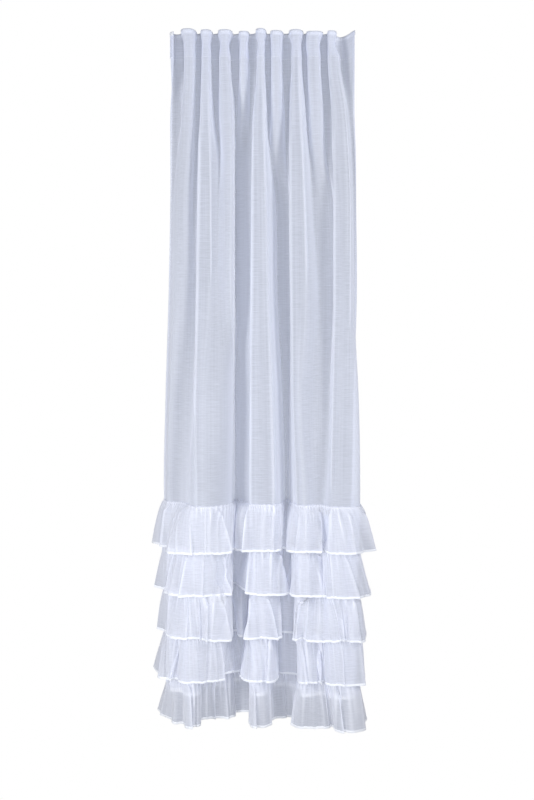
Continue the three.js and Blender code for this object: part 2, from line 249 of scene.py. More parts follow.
# Plan sections of the panel at each drop below the top edge. rounds are those of its
# folds' left and right sides: 1 for sides that turn back as an arch and less for squarer
# ones. ease is the length over which soft corners are eased. lead and tail are the
# points before and after the folds.
SECTION_NAMES = ("drop", "rounds", "ease", "lead", "tail", "folds")
HEADING_FORM = (
    (0.6, 0.8), 14,
    [(-314, -44), (-325, -36), (-328, -20), (-318, -4), (-308, 6)],
    [(276, 6), (290, -2), (306, -18), (322, -44)],
)
PANEL_SECTIONS = [
    (0, *HEADING_FORM, HEADING_TOPS),
    (WAIST_DROP, *HEADING_FORM, HEADING_WAISTS),
    (HEADING_DROP, *HEADING_FORM, HEADING_SEAMS),
    (288, (0.7, 0.85), 18, [(-328, -16), (-318, -8)], [(308, -34), (322, -40)], [
        (143, -289, -260, -245, -6, -46, 6, 0.3, 0.0),
        (283, -223, -196, -176, -2, -54, 6, 1.0, -0.2),
        (424, -156, -120, -101, -10, -56, 22, 0.3, 0.2),
        (562, -86, -72, -46, 8, -10, 16, 0.0, -0.6),
        (704, -33, -2, 15, 2, -58, 24, 1.0, 0.2),
        (842, 27, 50, 76, 4, -40, 10, 0.7, -0.3),
        (986, 92, 128, 152, 4, -60, 8, 1.0, 0.0),
        (1124, 161, 190, 214, -8, -46, 4, 0.6, 0.0),
        (1264, 240, 282, 300, -10, -58, -34, 1.0, -0.4),
    ]),
    (427, (0.8, 1.0), 20, [(-328, -18), (-320, -14)], [(314, -30), (326, -40)], [
        (143, -302, -268, -246, -12, -40, 2, 0.0, 0.0),
        (286, -227, -190, -154, -6, -58, -18, 1.0, -0.7),
        (434, -148, -114, -99, -22, -60, 40, 0.0, 0.4),
        (708, -38, 0, 22, -8, -62, -12, 1.0, -0.3),
        (840, 26, 42, 80, -12, -24, 14, 0.0, -0.6),
        (990, 91, 134, 162, 8, -62, -14, 1.0, -0.3),
        (1126, 168, 196, 220, -16, -40, -6, 0.0, -0.2),
        (1268, 244, 292, 312, -12, -60, -32, 1.0, -0.5),
    ]),
    (603, (0.8, 1.0), 22, [(-328, -18), (-320, -16)], [(318, -30), (328, -36)], [
        (143, -316, -280, -250, -20, -42, -6, 0.1, 0.0),
        (286, -231, -188, -158, -14, -62, -38, 1.0, -0.7),
        (434, -150, -114, -99, -42, -62, 54, 0.0, 0.5),
        (706, -42, 1, 46, -12, -62, 34, 1.0, -0.8),
        (994, 90, 138, 174, 8, -64, -22, 1.0, -0.6),
        (1272, 245, 300, 318, -16, -62, -34, 1.0, -0.5),
    ]),
    (953, (0.85, 1.0), 26, [(-338, 20), (-330, 10)], [(320, -20), (331, -24)], [
        (130, -320, -290, -252, -4, -38, -20, 0.1, 0.0),
        (286, -238, -186, -160, -18, -66, -54, 1.0, -0.6),
        (434, -150, -114, -99, -56, -72, 66, 0.0, 0.5),
        (708, -44, 8, 52, -16, -62, 46, 1.0, -0.7),
        (1000, 94, 152, 196, 12, -68, -28, 1.0, -0.6),
        (1272, 245, 302, 322, -14, -74, -40, 1.0, -0.4),
    ]),
    (1307, (0.9, 1.0), 30, [(-352, 56), (-344, 44)], [(330, 0), (322, 12)], [
        (110, -338, -314, -272, 30, -14, -24, 0.1, 0.0),
        (290, -246, -200, -101, -30, -94, 76, 0.1, 0.4),
        (716, -46, 24, 70, -16, -60, 54, 1.0, -0.7),
        (980, 96, 124, 190, 40, -74, -50, -0.4, -0.4),
        (1250, 236, 276, 337, -48, -96, -20, 0.2, 0.9),
    ]),
    (FIRST_SEAM_DROP, (0.9, 1.0), 34, [(-359, 78), (-353, 64)], [(330, 16), (314, 26)], [
        (90, -348, -324, -287, 50, 16, -10, 0.1, 0.0),
        (280, -268, -208, -103, -20, -100, 84, 0.0, 0.0),
        (724, -50, 40, 80, 0, -54, 74, 1.0, -0.7),
        (978, 92, 146, 190, 68, -76, -52, -0.6, -0.2),
        (1245, 216, 262, 342, -54, -104, -12, 0.1, 0.9),
    ]),
    (1978, (0.9, 1.0), 34, [(-338, 80), (-346, 52)], [(312, 30), (286, 36)], [
        (90, -347, -318, -284, 54, 8, -6, 0.4, 0.0),
        (275, -274, -216, -116, -10, -88, 84, 0.0, 1.0),
        (700, -46, -4, 55, 76, -56, 60, 1.0, 0.4),
        (985, 118, 144, 184, 24, -76, -40, 1.0, 0.0),
        (1245, 214, 268, 335, -40, -106, 10, 0.2, 0.6),
    ]),
    (PANEL_DROP, (0.9, 0.9), 30, [(-322, 70), (-332, 40)], [(308, 26), (284, 32)], [
        (90, -332, -312, -288, 42, -20, -32, 0.4, 0.2),
        (215, -278, -248, -220, -36, -70, 4, 0.4, 0.4),
        (390, -194, -158, -114, 22, 34, 94, 0.2, 0.8),
        (690, -46, -8, 18, 90, -68, 14, 1.0, 0.4),
        (800, 34, 54, 72, 30, 40, 54, 0.2, 0.2),
        (985, 132, 152, 184, 6, -76, -56, 1.0, 0.0),
        (1250, 224, 272, 331, -54, -102, -10, 0.2, 0.6),
    ]),
]
# The heading hangs straight down. From this section on the slope is free.
FIRST_FREE_SECTION = 3

# How far the top edge dips below the hanging line at places along the cloth width
TOP_DIPS = [
    (0, 9), (60, 7), (140, 0), (210, 6), (280, 3), (350, 6), (420, 3),
    (490, 7), (560, 8), (630, 7), (700, 0), (770, 7), (840, 6), (910, 7),
    (980, 3), (1050, 6), (1120, 8), (1190, 7), (1260, 7), (1330, 17), (1400, 5),
]

# Creases of the panel: how far each stands forward, how wide it is, how far it leans to
# the right, and its line of (drop, x)
PANEL_CREASE_NAMES = ("height", "width", "lean", "line")
PANEL_CREASES = [
    (5.5, 8, 0, [(427, -222), (603, -224), (953, -229), (1307, -233)]),
    (4, 9, 0, [(1307, -233), (1450, -232), (1620, -230)]),
    (3, 6, 0, [(288, -190), (427, -186), (603, -184), (800, -183)]),
    (5, 7.5, 0, [(330, -33), (603, -36), (953, -38), (1307, -41), (1640, -43)]),
    (5.5, 8, 0, [(288, 3), (427, 3), (603, 8), (953, 16), (1307, 30), (1600, 37)]),
    (5.5, 7.5, 0, [(427, 98), (603, 97), (953, 101), (1307, 110), (1620, 120)]),
    (4.5, 7, 0, [(200, 128), (288, 132), (427, 137), (603, 144), (800, 150)]),
    (5.5, 7.5, -2, [(427, 252), (953, 253), (1200, 249), (1400, 244), (1520, 241)]),
    (3.5, 7, 0, [(200, 276), (288, 286), (427, 298), (603, 305), (953, 303)]),
    (4, 10, -3, [(1500, -250), (1680, -252)]),
]
CREASE_FADE = 130.0
CREASE_STEPS = 24
CREASE_WINDOW = 5

# Plan section of each ruffle's hem. Its folds also say how much the hem rises on its way
# to the next fold. flare holds powers at places along the cloth: the ruffle swings out
# to its hem early where the power is low and late where it is high.
HEM_NAMES = ("rounds", "ease", "lead", "tail", "flare", "folds")
HEM_FOLD_NAMES = FOLD_NAMES + ("rise",)
RUFFLE_HEMS = [
    ((0.9, 0.9), 16, [(-404, 84), (-369, 30), (-346, -8)], [(395, -50), (386, 6), (346, 58)], [
        (0, 0.72), (380, 0.72), (470, 0.4), (640, 0.4), (740, 0.72), (1400, 0.72),
    ], [
        (275, -342, -206, -107, -12, -134, -34, 0.8, 1.0, 0),
        (680, -95, -10, 66, -44, -88, -36, 0.8, 0.8, 0),
        (990, 79, 150, 212, -44, -104, -56, 0.8, 1.0, 0),
        (1225, 232, 270, 350, -56, -132, -88, 0.9, 0.3, 0),
    ]),
    ((0.8, 0.9), 16, [(-392, 36), (-366, 17)], [(378, -74), (380, -20), (342, 54)], [
        (0, 0.72), (600, 0.72), (780, 1.4), (950, 1.4), (1040, 0.72), (1180, 0.72), (1320, 1.1),
    ], [
        (260, -340, -218, -162, -6, -110, -72, 0.4, 0.8, 0),
        (380, -152, -128, -106, -74, -84, 36, 0.8, 1.0, 14),
        (690, -98, -4, 84, 24, -94, -20, -0.6, 1.0, 0),
        (1000, 92, 160, 198, -34, -112, -86, 0.9, 0.8, 0),
        (1232, 208, 272, 352, -90, -136, -104, 0.6, 0.4, 0),
    ]),
    ((0.8, 0.9), 14, [(-381, 34), (-352, 12)], [(362, -50), (366, 0), (336, 52)], [
        (0, 0.4), (90, 0.4), (200, 0.72), (1400, 0.72),
    ], [
        (185, -334, -270, -214, -8, -92, -98, 0.4, 0.3, 0),
        (322, -210, -176, -106, -102, -120, 14, 0.3, 1.0, 0),
        (525, -92, -76, -62, 10, -50, 4, 0.6, 0.6, 0),
        (660, -50, -26, -8, -12, -90, -76, 0.9, 0.2, 0),
        (735, -4, 34, 66, -76, -90, -14, 0.2, 0.9, 0),
        (955, 106, 120, 136, -16, -100, -90, 0.9, 0.3, 0),
        (1130, 142, 220, 276, -92, -130, -106, 0.4, 0.7, 0),
        (1290, 284, 320, 356, -108, -130, -96, 0.8, 0.5, 0),
    ]),
    ((0.8, 0.9), 14, [(-400, 90), (-380, 30)], [(358, -50), (362, 0), (334, 48)], [
        (0, 0.6), (90, 0.6), (200, 0.72), (1240, 0.72), (1330, 0.4), (1400, 0.4),
    ], [
        (100, -366, -330, -300, 10, -56, -52, 0.4, 0.2, 0),
        (215, -296, -247, -136, -54, -98, -30, 0.7, 0.8, 10),
        (690, -76, 4, 54, 10, -90, 20, 0.8, 0.8, 0),
        (985, 124, 158, 209, -8, -100, -80, 0.9, 0.4, 0),
        (1250, 213, 284, 352, -82, -126, -96, 0.4, 0.4, 0),
    ]),
    ((0.8, 0.9), 14, [(-383, 84), (-362, 30), (-342, -4)], [(369, -16), (366, 20), (330, 50)], [
        (0, 0.72), (1400, 0.72),
    ], [
        (125, -322, -296, -276, -24, -66, -72, 0.3, 0.4, 0),
        (210, -272, -247, -216, -84, -98, -30, 0.8, 0.8, 0),
        (390, -188, -144, -96, -12, -10, 30, 0.3, 0.8, 12),
        (690, -50, -6, 26, 20, -98, -34, 1.0, 0.6, 0),
        (790, 34, 60, 84, -20, -10, 10, 0.2, 0.6, 0),
        (1030, 104, 180, 238, 0, -110, -88, 0.9, 0.8, 0),
        (1258, 244, 285, 350, -98, -142, -80, 0.7, 0.4, 0),
    ]),
]

# Creases of each ruffle, from x at the seam to x at the hem, with how far it stands
# forward, its width and its lean to the right. A ridge has grown at a smaller share of
# the drop than a hollow.
CREASE_TRAVEL = 0.72
RIDGE_GROWN = 0.2
HOLLOW_GROWN = 0.45
CREASE_GROWTH = (0.75, 1.1)
CREASE_WIDENING = (0.75, 1.15)
CREASE_NAMES = ("seam_x", "hem_x", "height", "width", "lean")
RUFFLE_CREASES = [
    [
        (-332, -350, 9, 8, -20), (-300, -322, 5, 5, -4), (-277, -290, 6, 5, -4), (-246, -247, 7, 4, 5),
        (-201, -199, 5, 6, 3), (-166, -120, 8, 7, 10), (-44, -62, 6, 6, -6), (26, 30, 5, 6, 5),
        (140, 118, 5, 7, -5), (196, 194, 7, 5, 6), (240, 236, 8, 6, -8),
        (290, 312, 5, 6, 5), (330, 374, 8, 8, 16),
    ],
    [
        (-315, -346, -7, 5, 0), (-296, -336, 8, 6, -10), (-249, -274, 9, 7, -16), (-205, -214, 5, 6, 5),
        (-170, -152, -7, 5, 0), (-150, -136, 7, 7, 12), (-44, -38, 8, 7, -16), (34, 80, 9, 7, 18),
        (122, 90, 9, 7, -16), (182, 188, 10, 8, 22), (210, 214, -9, 6, 0), (273, 319, 8, 6, 10),
        (318, 360, 6, 6, 8),
    ],
    [
        (-316, -332, 8, 6, -10), (-262, -270, 5, 6, 4), (-226, -215, 9, 5, 9), (-205, -196, 9, 5, 9),
        (-160, -126, 8, 7, 14), (-78, -78, 7, 5, 5), (-34, -34, 9, 8, -20), (-2, 40, 8, 6, 12),
        (124, 112, 6, 5, -6), (156, 128, 10, 8, -22), (256, 277, 9, 5, 9), (286, 292, -8, 5, 0),
        (300, 324, 7, 6, 8),
    ],
    [
        (-350, -362, 7, 5, -8), (-335, -344, -7, 5, 0), (-277, -304, 10, 8, -22), (-190, -192, -6, 6, 0),
        (-165, -145, 7, 6, 10), (-52, -72, 8, 6, -10), (-4, 8, -10, 7, 0), (20, 26, 8, 6, -12),
        (128, 142, 8, 6, 12), (194, 194, -3, 6, 0), (212, 208, 10, 8, -22), (270, 276, 5, 7, 4),
        (320, 342, 7, 6, 8),
    ],
    [
        (-330, -358, 7, 6, -8), (-264, -262, 10, 8, 20), (-236, -232, -7, 5, 0), (-178, -176, 7, 5, 8),
        (-140, -128, 6, 6, 5), (-34, -36, 10, 8, 18), (16, 22, 7, 5, 8),
        (130, 108, 8, 6, -10), (248, 264, 8, 8, 14), (290, 300, 5, 7, 4), (322, 344, 7, 6, 8),
    ],
]


def named(names, row):
    """A row of a table, with the names of its columns."""
    return dict(zip(names, row))


def lerp(a, b, t):
    return a + (b - a) * t


def smoothstep(t):
    """From 0 to 1, level at both ends."""
    t = np.clip(t, 0, 1)
    return t * t * (3 - 2 * t)


def columns_at(wanted, known, values):
    """The columns of a table of values at known places, read at the wanted ones."""
    return np.stack([np.interp(wanted, known, column) for column in values.T], axis=1)


def read(path, places):
    """A plan path, read at places along the cloth."""
    return columns_at(places, FINE, path)


def unit(vectors):
    """Vectors at a length of 1."""
    return vectors / (np.linalg.norm(vectors, axis=1, keepdims=True) + 1e-9)


def along(path):
    """Unit directions along a plan path."""
    return unit(np.gradient(path, axis=0))


def to_front(path):
    """Unit directions to the front of a plan path."""
    step = along(path)
    return np.stack([step[:, 1], -step[:, 0]], axis=1)


def turns(path):
    """How far a plan path turns at each step, above 0 where a fold stands forward."""
    step = along(path)
    cross = step[:-1, 0] * step[1:, 1] - step[:-1, 1] * step[1:, 0]
    return np.arctan2(cross, np.sum(step[:-1] * step[1:], axis=1))


def lengths_along(points):
    """The way along a line from its start to each of its points."""
    return np.concatenate([[0], np.cumsum(np.linalg.norm(np.diff(points, axis=0), axis=1))])


def fold_arch(fold, left_round, right_round):
    """One fold as an arch from its left side over its crest to its right side, with how
    crisp it is at each point."""
    i = np.arange(ARCH_STEPS + 1)
    turn = math.pi * i / ARCH_STEPS
    first = i < ARCH_STEPS / 2
    side = np.where(first, fold["left"], fold["right"])
    crisp = np.where(first, fold["crisp_left"], fold["crisp_right"])
    plain = np.where(first, left_round, right_round)
    other = np.where(crisp < 0, SLOPE_ROUND, CRISP_ROUND)
    crisp = np.abs(crisp)
    power = lerp(plain, other, crisp)
    forward = np.clip(np.sin(turn), 0, 1) ** power
    tuck = TUCK * np.where(power < 1, crisp, 0) * (1 - forward) ** 2 * np.where(first, 1, -1)
    base = lerp(fold["start"], fold["end"], i / ARCH_STEPS)
    return np.stack([
        lerp(fold["crest"], side, np.abs(np.cos(turn)) ** power) + tuck,
        lerp(base, fold["front"], forward),
        crisp,
    ], axis=1)


def soft_points(points):
    """Points of a path with no crispness."""
    return np.column_stack([np.array(points, float), np.zeros(len(points))])


def section_points(section):
    """A section's points, and its anchors: places along the cloth, each with the number
    of the point that lies there."""
    parts = [soft_points(section["lead"])]
    anchors = [(0.0, 0)]
    for row in section["folds"]:
        fold = named(FOLD_NAMES, row)
        anchors.append((fold["at"], sum(map(len, parts)) + ARCH_STEPS // 2))
        parts.append(fold_arch(fold, *section["rounds"]))
    points = np.vstack(parts + [soft_points(section["tail"])])
    anchors.append((CLOTH_WIDTH, len(points) - 1))
    return points, anchors


def eased(path, reach):
    """A path whose corners are eased over a reach that may change along it."""
    i = np.arange(len(path))
    half = np.maximum(np.minimum(reach, np.minimum(i, len(path) - 1 - i)), LEAST_EASE)
    for _ in range(EASE_PASSES):
        sums = np.vstack([np.zeros(2), np.cumsum((path[1:] + path[:-1]) / 2, axis=0)])
        ends = path[0], path[-1]
        path = (columns_at(i + half, i, sums) - columns_at(i - half, i, sums)) / (2 * half)[:, None]
        path[0], path[-1] = ends
    return path


def section_path(section):
    """The plan path of a section, read at each fine place along the cloth width."""
    points, anchors = section_points(section)
    lengths = lengths_along(points[:, :2])
    count = round(lengths[-1] / PATH_STEP)
    path = columns_at(np.linspace(0, lengths[-1], count + 1), lengths, points)
    window = np.ones(int(section["ease"] / PATH_STEP))
    crisp = np.convolve(path[:, 2], window / len(window), mode="same")
    reach = lerp(section["ease"], CRISP_EASE, np.clip(crisp, 0, 1)) / PATH_STEP / EASE_PASSES
    soft = eased(path[:, :2], reach)
    marks = [lengths[number] / lengths[-1] * count for _, number in anchors]
    steps = np.interp(FINE, [at for at, _ in anchors], marks)
    return columns_at(steps, np.arange(count + 1), soft)


KEY_SECTIONS = [named(SECTION_NAMES, row) for row in PANEL_SECTIONS]
KEY_PATHS = np.array([section_path(section) for section in KEY_SECTIONS])
KEY_DROPS = np.array([section["drop"] for section in KEY_SECTIONS], float)
KEY_SLOPES = np.zeros_like(KEY_PATHS)
for key in range(FIRST_FREE_SECTION, len(KEY_DROPS)):
    after = min(key + 1, len(KEY_DROPS) - 1)
    KEY_SLOPES[key] = (KEY_PATHS[after] - KEY_PATHS[key - 1]) / (KEY_DROPS[after] - KEY_DROPS[key - 1])


def folds_at(drop):
    """The panel's plan path at a drop, on a smooth curve through its sections."""
    drop = min(max(drop, 0), KEY_DROPS[-1])
    k = int(np.clip(np.searchsorted(KEY_DROPS, drop) - 1, 0, len(KEY_DROPS) - 2))
    span = KEY_DROPS[k + 1] - KEY_DROPS[k]
    t = (drop - KEY_DROPS[k]) / span
    leave = t * (1 - t) ** 2 * span * KEY_SLOPES[k]
    arrive = t * t * (t - 1) * span * KEY_SLOPES[k + 1]
    return lerp(KEY_PATHS[k], KEY_PATHS[k + 1], smoothstep(t)) + leave + arrive


def front_place(path, x, near=None):
    """The place on the cloth where a layer crosses x: the foremost one, or one that is
    close to a place before it, with the way along the cloth weighed against the depth."""
    off = path[:, 0] - x
    crossings = np.nonzero(off[:-1] * off[1:] <= 0)[0]
    if len(crossings) == 0:
        return FINE[np.argmin(np.abs(off))]
    cost = path[crossings, 1]
    if near is not None:
        cost = cost + LAYER_JUMP_COST * np.abs(FINE[crossings] - near)
    return FINE[crossings[np.argmin(cost)]]


def creased(path, place, width, height, lean):
    """A path with a ridge at a place, which leans over to one side."""
    ridge = np.exp(-(((FINE - place) / width) ** 2))[:, None]
    return path + to_front(path) * height * ridge + along(path) * lean * ridge


def placed_panel_creases():
    """The panel's creases, each with its drops and its places along the cloth there."""
    placed = []
    for row in PANEL_CREASES:
        crease = named(PANEL_CREASE_NAMES, row)
        line_drops, line_xs = zip(*crease["line"])
        drops = np.linspace(line_drops[0], line_drops[-1], CREASE_STEPS)
        places = []
        for drop, x in zip(drops, np.interp(drops, line_drops, line_xs)):
            places.append(front_place(folds_at(drop), x, places[-1] if places else None))
        padded = np.pad(places, CREASE_WINDOW // 2, mode="edge")
        smooth = np.convolve(padded, np.ones(CREASE_WINDOW) / CREASE_WINDOW, mode="valid")
        placed.append((crease, drops, smooth))
    return placed


PLACED_CREASES = placed_panel_creases()


def panel_path(drop):
    """The panel's plan path at a drop, with its creases."""
    path = folds_at(drop)
    for crease, drops, places in PLACED_CREASES:
        grown = smoothstep((drop - drops[0] + CREASE_FADE) / CREASE_FADE)
        left = smoothstep((drops[-1] + CREASE_FADE - drop) / CREASE_FADE)
        share = float(grown * left)
        if share > 0:
            place = np.interp(drop, drops, places)
            height, lean = crease["height"] * share, crease["lean"] * share
            path = creased(path, place, crease["width"], height, lean)
    return path


def columns_for(paths, count):
    """Places along the cloth for the columns of each row, closer where the row turns.
    They shift only slowly from row to row."""
    density = []
    for path in paths:
        turn = np.minimum(np.abs(turns(path)), SHARPEST_TURN)
        near = np.convolve(turn, np.ones(TURN_WINDOW) / TURN_WINDOW, mode="same")
        density.append(FINE_STEP / COLUMN_SPACING + COLUMNS_PER_TURN * near)
    padded = np.pad(density, ((ROW_BLEND, ROW_BLEND), (0, 0)), mode="edge")
    weights = np.hanning(2 * ROW_BLEND + 3)[1:-1]
    smooth = sum(w * padded[k:k + len(paths)] for k, w in enumerate(weights / weights.sum()))
    places = []
    for row in smooth:
        total = np.concatenate([[0], np.cumsum(row)])
        places.append(np.interp(np.linspace(0, total[-1], count + 1), total, FINE))
    return places


def edge_highlight(path):
    """A painted highlight along the fold edges that stand forward: how far the gaps close there."""
    window = np.hanning(2 * EDGE_REACH + 3)[1:-1]
    turn = np.append(turns(path) / FINE_STEP, 0)
    near = np.convolve(turn, window / window.sum(), mode="same")
    return EDGE_HIGHLIGHT * (1 - np.exp(-EDGE_HIGHLIGHT_PER_TURN * np.clip(near, 0, None)))


def wave(length, rng):
    """A wave of uneven length and height along the cloth, from 0 to 1."""
    knots = np.arange(-length, CLOTH_WIDTH + 3 * length, length * WAVE_KNOTS)
    drift = np.interp(FINE, knots, rng.uniform(-WAVE_DRIFT, WAVE_DRIFT, len(knots)))
    swell = np.interp(FINE, knots, rng.uniform(LOWEST_WAVE, 1.0, len(knots)))
    return swell * (0.5 + 0.5 * np.sin(2 * math.pi * (FINE / length + drift)))


def gathers(below, rng):
    """How far a ruffle's gathers stand forward at each depth below its seam, how far the gaps
    close there, from closer threads under the seam and a painted highlight on the crests,
    and the crimp of its sewn edge."""
    total = np.zeros((len(below), len(FINE)))
    bunched_and_highlit = SEAM_BUNCH * np.exp(-below / SEAM_BUNCH_REACH)[:, None] * np.ones(len(FINE))
    crimps = []
    for row in GATHERS:
        gather = named(GATHER_NAMES, row)
        ridges = wave(gather["length"], rng) ** gather["sharp"]
        crimps.append(ridges)
        rise = smoothstep((below + CRIMP_AHEAD) / (gather["start"] + CRIMP_AHEAD))[:, None]
        reach = SHORTEST_FADE + FADE_SWELL * wave(gather["length"] * FADE_LENGTHS, rng)
        fade = np.exp(-((below[:, None] / (gather["fade"] * reach[None])) ** 2))
        total += gather["height"] * ridges[None] * rise * fade
        # Painted highlight: the gaps close along the gathers' crests
        bunched_and_highlit += gather["crest_highlight"] * ridges[None] * fade
    return total, np.clip(bunched_and_highlit, 0, 1), crimps[CRIMP_ROW]


def new_piece(name, points, faces, materials):
    """A smooth mesh from points in millimetres, as an object of the scene."""
    mesh = bpy.data.meshes.new(name)
    mesh.from_pydata((points * MM).tolist(), [], faces)
    mesh.polygons.foreach_set("use_smooth", np.ones(len(mesh.polygons), bool))
    for material in materials:
        mesh.materials.append(material)
    mesh.update()
    piece = bpy.data.objects.new(name, mesh)
    bpy.context.scene.collection.objects.link(piece)
    return piece


def sheet_mesh(name, grid, uv, bunching_and_highlight, hemmed, materials):
    """A sheet from rows of points, with its place on the flat cloth and how far its gaps close,
    from closer threads and from painted highlights. hemmed says which rows of faces are hem
    and take the second material."""
    rows, columns = grid.shape[:2]
    number = np.arange(rows * columns).reshape(rows, columns)
    quads = np.stack([number[:-1, :-1], number[1:, :-1], number[1:, 1:], number[:-1, 1:]], axis=2)
    piece = new_piece(name, grid.reshape(-1, 3), quads.reshape(-1, 4).tolist(), materials)
    mesh = piece.data
    flat = uv.reshape(-1, 2)[quads.reshape(-1)] * MM
    mesh.uv_layers.new(name="cloth").data.foreach_set("uv", flat.astype(np.float32).ravel())
    # One attribute for closer threads and for painted highlights along edges and crests
    bunched_and_highlit = mesh.attributes.new("bunched_and_highlit", "FLOAT", "POINT")
    bunched_and_highlit.data.foreach_set("value", bunching_and_highlight.astype(np.float32).ravel())
    mesh.polygons.foreach_set("material_index", np.repeat(hemmed, columns - 1).astype(np.int32))
    mesh.update()
    return piece


def flat_row(places, up):
    """A row's places on the flat cloth."""
    return np.column_stack([places, np.full(len(places), up)])


def heights_at(drop, places):
    """Heights of a row of the panel. The dips of its top edge, eased between the rows of
    their table, die away down the heading."""
    at, dips = np.array(TOP_DIPS, float).T
    k = np.clip(np.searchsorted(at, places) - 1, 0, len(at) - 2)
    dip = lerp(dips[k], dips[k + 1], smoothstep((places - at[k]) / (at[k + 1] - at[k])))
    return -drop - dip * max(1 - drop / HEADING_DROP, 0)


def panel_drops():
    """The panel's row drops, from its top fold to its bottom fold."""
    heading = np.linspace(0, HEADING_DROP, HEADING_ROWS)
    below = HEADING_DROP + np.cumsum(np.linspace(NARROWEST_ROW, WIDEST_ROW, WIDENING_ROWS))
    body = np.linspace(below[-1] + WIDEST_ROW, PANEL_DROP - PANEL_HEM - 1, BODY_ROWS)
    hem = [PANEL_DROP - PANEL_HEM, PANEL_DROP - HEM_ROUND, PANEL_DROP]
    return np.concatenate([heading, below, body, hem])


def panel_sheet(materials):
    """The panel with its top turned over the band, and its side hems and bottom hem
    folded to the back."""
    top, top_behind = np.array(TOP_TURN).T
    hem, hem_behind = np.array(HEM_TURN).T
    side, side_behind = np.array(SIDE_TURN).T
    drops = panel_drops()
    all_drops = np.concatenate([top, drops, PANEL_DROP - hem])
    flat_drops = np.concatenate([-top, drops, PANEL_DROP + hem])
    behind = np.concatenate([top_behind, np.zeros(len(drops)), hem_behind])
    paths = [panel_path(drop) for drop in all_drops]
    grid, uv, bunching_and_highlight = [], [], []
    for r, (path, columns) in enumerate(zip(paths, columns_for(paths, PANEL_COLUMNS))):
        places = np.concatenate([side, columns, CLOTH_WIDTH - side[::-1]])
        flat = np.concatenate([-side, columns, CLOTH_WIDTH + side[::-1]])
        folded = np.concatenate([side_behind, np.zeros(len(columns)), side_behind[::-1]])
        layers = (folded + behind[r])[:, None]
        plan = read(path, places) - read(to_front(path), places) * LAYER_GAP * layers
        grid.append(np.column_stack([plan, heights_at(all_drops[r], places)]))
        uv.append(flat_row(flat, -flat_drops[r]))
        in_hem = (places <= SIDE_HEM) | (places >= CLOTH_WIDTH - SIDE_HEM)
        # Painted highlight along the fold edges; closer threads in the side hems
        bunching_and_highlight.append(np.maximum(np.interp(places, FINE, edge_highlight(path)), SIDE_HEM_BUNCH * in_hem))
    grid = np.array(grid)
    hemmed = all_drops[1:] > PANEL_DROP - PANEL_HEM
    hemmed[:len(top)] = True
    return sheet_mesh("curtain_panel", grid, np.array(uv), np.array(bunching_and_highlight), hemmed, materials), grid


def band_sheet(material):
    """The heading band on the panel's back, from just below the top edge to its seam."""
    drops = np.linspace(BAND_TOP_DROP, HEADING_DROP, BAND_ROWS)
    paths = [panel_path(drop) for drop in drops]
    grid, uv = [], []
    for drop, path, columns in zip(drops, paths, columns_for(paths, PANEL_COLUMNS)):
        places = np.clip(columns, BAND_INSET, CLOTH_WIDTH - BAND_INSET)
        plan = read(path, places) - read(to_front(path), places) * BAND_OFFSET
        grid.append(np.column_stack([plan, heights_at(drop, places)]))
        uv.append(flat_row(places, -drop))
    grid = np.array(grid)
    bunching_and_highlight, hemmed = np.zeros(grid.shape[:2]), np.zeros(len(grid) - 1, bool)
    return sheet_mesh("curtain_heading_band", grid, np.array(uv), bunching_and_highlight, hemmed, [material])


def rises_along(hem):
    """How much higher the hem hangs at each place, fullest halfway to the next fold."""
    folds = [named(HEM_FOLD_NAMES, row) for row in hem["folds"]]
    rise = np.zeros(len(FINE))
    for fold, after in zip(folds[:-1], folds[1:]):
        t = (FINE - fold["at"]) / (after["at"] - fold["at"])
        inside = (t > 0) & (t < 1)
        rise += np.where(inside, fold["rise"] * np.sin(math.pi * np.clip(t, 0, 1)) ** 2, 0)
    return rise


def ruffle_depths():
    """The rows of a ruffle below its seam, and how far its hem bulges at each."""
    body = RUFFLE_DROP - HEM_HEIGHT
    plain = body * np.linspace(0, 1, RUFFLE_ROWS + 1) ** RUFFLE_ROW_POWER
    below = np.concatenate([plain, [body + down for down, _ in HEM_FRONT]])
    bulge = np.concatenate([np.zeros(len(plain)), [out * HEM_BULGE for _, out in HEM_FRONT]])
    return below, bulge


def placed_ruffle_creases(tier, seam_path, hem_path):
    """A ruffle's creases, each with its places on the cloth at the seam and at the hem."""
    placed = []
    for row in RUFFLE_CREASES[tier]:
        crease = named(CREASE_NAMES, row)
        ends = front_place(seam_path, crease["seam_x"]), front_place(hem_path, crease["hem_x"])
        placed.append((crease, ends))
    return placed


def ruffle_creased(path, creases, share):
    """A ruffle's path at a share of its drop with its creases, which grow on their way
    down."""
    for crease, ends in creases:
        place = lerp(*ends, share ** CREASE_TRAVEL)
        full = HOLLOW_GROWN if crease["height"] < 0 else RIDGE_GROWN
        grown = smoothstep(share / full) * lerp(*CREASE_GROWTH, share)
        wide = crease["width"] * lerp(*CREASE_WIDENING, share)
        path = creased(path, place, wide, crease["height"] * grown, crease["lean"] * grown)
    return path


def ruffle_paths(tier, hem, below, gathered):
    """The plan path of each row of a ruffle: the panel's, swung out towards the hem's."""
    seam = SEAM_DROPS[tier]
    hem_path = section_path(hem)
    swing = hem_path - folds_at(seam + RUFFLE_DROP)
    creases = placed_ruffle_creases(tier, folds_at(seam), hem_path)
    share = below / RUFFLE_DROP
    flare = share[:, None] ** np.interp(FINE, *zip(*hem["flare"]))[None]
    forward = gathered + SEWN_OFFSET * (1 - flare)
    paths = []
    for r in range(len(below)):
        panel = panel_path(seam + below[r])
        out = to_front(panel)
        path = panel + swing * flare[r][:, None] + out * forward[r][:, None]
        if tier < TIER_COUNT - 1:
            clear = np.einsum("cx,cx->c", path - panel, out)
            near_next = smoothstep((share[r] - NEXT_TIER_START) / NEXT_TIER_SPAN)
            path = path + out * (np.clip(NEXT_TIER_CLEARANCE - clear, 0, None) * near_next)[:, None]
        paths.append(ruffle_creased(path, creases, share[r]))
    return paths


